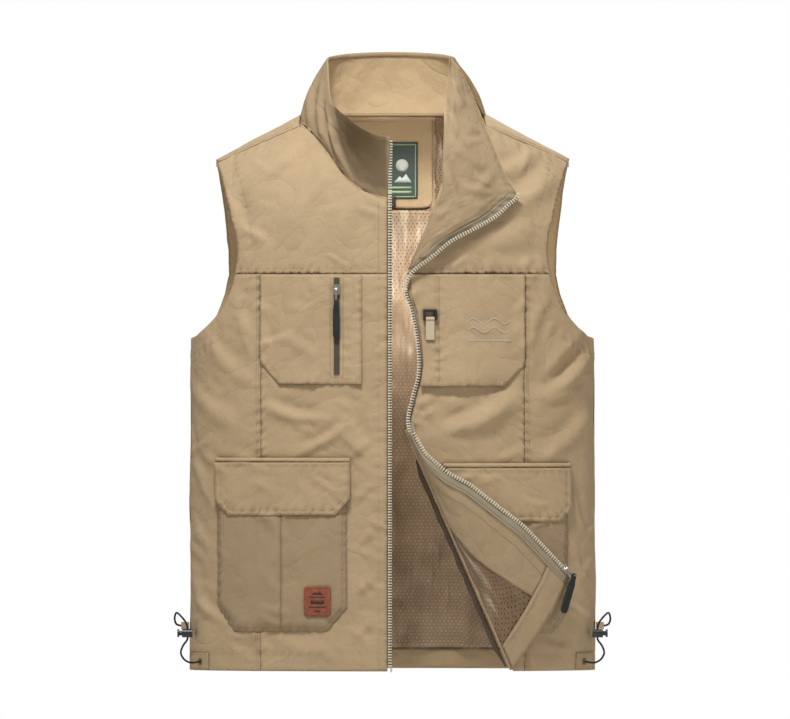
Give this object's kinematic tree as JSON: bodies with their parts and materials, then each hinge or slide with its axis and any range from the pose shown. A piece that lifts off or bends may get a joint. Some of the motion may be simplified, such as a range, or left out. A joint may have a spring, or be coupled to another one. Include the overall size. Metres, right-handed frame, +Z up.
{
  "type": "fishing vest",
  "caption": "Sleeveless zip-front utility vest with stand collar, open lapel, mesh lining, zip chest pocket, flap cargo pockets and hem drawcords.",
  "frame": {"origin": "between the shoulders at the height of the neck points, where a hanger or a body carries the vest", "axes": "+Z up along the wearer's spine, -Y out of the front, +X to the wearer's left"},
  "size_m": [0.5424, 0.2402, 0.766],
  "materials": {
    "shell_fabric": "matte woven cotton blend",
    "mesh_lining": "shiny perforated polyester mesh",
    "zip_tape": "dense woven tape",
    "zip_teeth": "moulded, slightly glossy",
    "slider_metal": "satin plated",
    "rubber_black": "matte moulded",
    "cord_black": "braided elastic",
    "plastic_black": "moulded",
    "webbing_beige": "narrow woven webbing",
    "leather": "waxed, embossed border",
    "label_green": "satin woven label",
    "tag_black": "satin woven",
    "thread": "shiny embroidery thread"
  },
  "bodies": {
    "vest": {"back_panel": "shell_fabric", "back_yoke": "shell_fabric", "right_front_yoke": "shell_fabric", "left_front_yoke": "shell_fabric", "right_front_panel": "shell_fabric", "left_front_panel": "shell_fabric", "right_side_panel": "shell_fabric", "left_side_panel": "shell_fabric", "back_neck_facing": "shell_fabric", "hem_band": "shell_fabric", "right_armhole_facing": "shell_fabric", "left_armhole_facing": "shell_fabric", "collar_outer": "shell_fabric", "collar_inner": "shell_fabric", "lapel_shell": "shell_fabric", "lapel_facing": "shell_fabric", "right_chest_pocket": "shell_fabric", "left_chest_pocket": "shell_fabric", "right_cargo_pocket": "shell_fabric", "right_cargo_welt": "shell_fabric", "left_cargo_pocket": "shell_fabric", "left_cargo_flap": "shell_fabric", "right_hem_patch": "shell_fabric", "left_hem_patch": "shell_fabric", "right_cord_tab": "shell_fabric", "left_cord_tab": "shell_fabric", "back_lining": "mesh_lining", "right_front_lining": "mesh_lining", "left_front_lining": "mesh_lining", "right_zip_tape": "zip_tape", "left_zip_tape": "zip_tape", "chest_zip_coil": "zip_tape", "right_zip_teeth": "zip_teeth", "zip_pin": "zip_teeth", "left_zip_teeth": "zip_teeth", "right_drawcord": "cord_black", "left_drawcord": "cord_black", "tool_ring": "plastic_black", "right_lock_body": "plastic_black", "left_lock_body": "plastic_black", "leather_patch": "leather", "neck_label": "label_green", "size_tag": "tag_black", "chest_badge": "thread"},
    "corner": {"corner_shell": "shell_fabric", "corner_facing": "shell_fabric", "corner_mesh": "mesh_lining", "corner_hem": "shell_fabric", "corner_zip_teeth": "zip_teeth"},
    "main_slider": {"main_slider": "slider_metal"},
    "main_link": {"main_pull_link": "slider_metal"},
    "main_grip": {"main_pull_grip": "rubber_black"},
    "chest_slider": {"chest_slider": "slider_metal"},
    "chest_pull": {"chest_pull_link": "slider_metal", "chest_pull_grip": "rubber_black"},
    "cargo_flap": {"right_cargo_flap": "shell_fabric"},
    "tool_tab": {"tool_tab": "webbing_beige"},
    "right_button": {"right_lock_button": "plastic_black"},
    "left_button": {"left_lock_button": "plastic_black"}
  },
  "joints": [
    {"name": "corner_fold", "type": "hinge", "parent": "vest", "child": "corner", "pos_m": [0.01712, -0.11574, -0.388], "axis": [0.4015, 0.0649, -0.9135], "range_deg": [0, 155]},
    {"name": "main_slider_slide", "type": "slide", "parent": "corner", "child": "main_slider", "axis": [-0.6466, -0.3132, 0.6956], "range_m": [0, 0.07]},
    {"name": "main_link_flip", "type": "hinge", "parent": "main_slider", "child": "main_link", "pos_m": [0.21508, -0.08524, -0.55988], "axis": [-0.606, -0.3429, -0.7177], "range_deg": [0, 60]},
    {"name": "main_grip_swing", "type": "hinge", "parent": "main_link", "child": "main_grip", "pos_m": [0.22349, -0.08272, -0.56818], "axis": [0.4633, -0.8856, 0.0319], "range_deg": [-60, 12]},
    {"name": "chest_slider_slide", "type": "slide", "parent": "vest", "child": "chest_slider", "axis": [0, 0, -1], "range_m": [0, 0.09]},
    {"name": "chest_pull_flip", "type": "hinge", "parent": "chest_slider", "child": "chest_pull", "pos_m": [-0.0695, -0.11555, -0.215], "axis": [0.992, -0.1266, 0], "range_deg": [-140, 0]},
    {"name": "cargo_flap_lift", "type": "hinge", "parent": "vest", "child": "cargo_flap", "pos_m": [-0.14127, -0.10442, -0.4296], "axis": [0.9515, -0.3076, 0], "range_deg": [-140, 0]},
    {"name": "tool_tab_flip", "type": "hinge", "parent": "vest", "child": "tool_tab", "pos_m": [0.04638, -0.11467, -0.251], "axis": [0.9965, 0.0836, 0], "range_deg": [-130, 0]},
    {"name": "right_lock_press", "type": "slide", "parent": "vest", "child": "right_button", "axis": [1, 0, 0], "range_m": [0, 0.003], "stiffness_N_per_m": 400, "springref_m": -0.002},
    {"name": "left_lock_press", "type": "slide", "parent": "vest", "child": "left_button", "axis": [-1, 0, 0], "range_m": [0, 0.003], "stiffness_N_per_m": 400, "springref_m": -0.002}
  ]
}
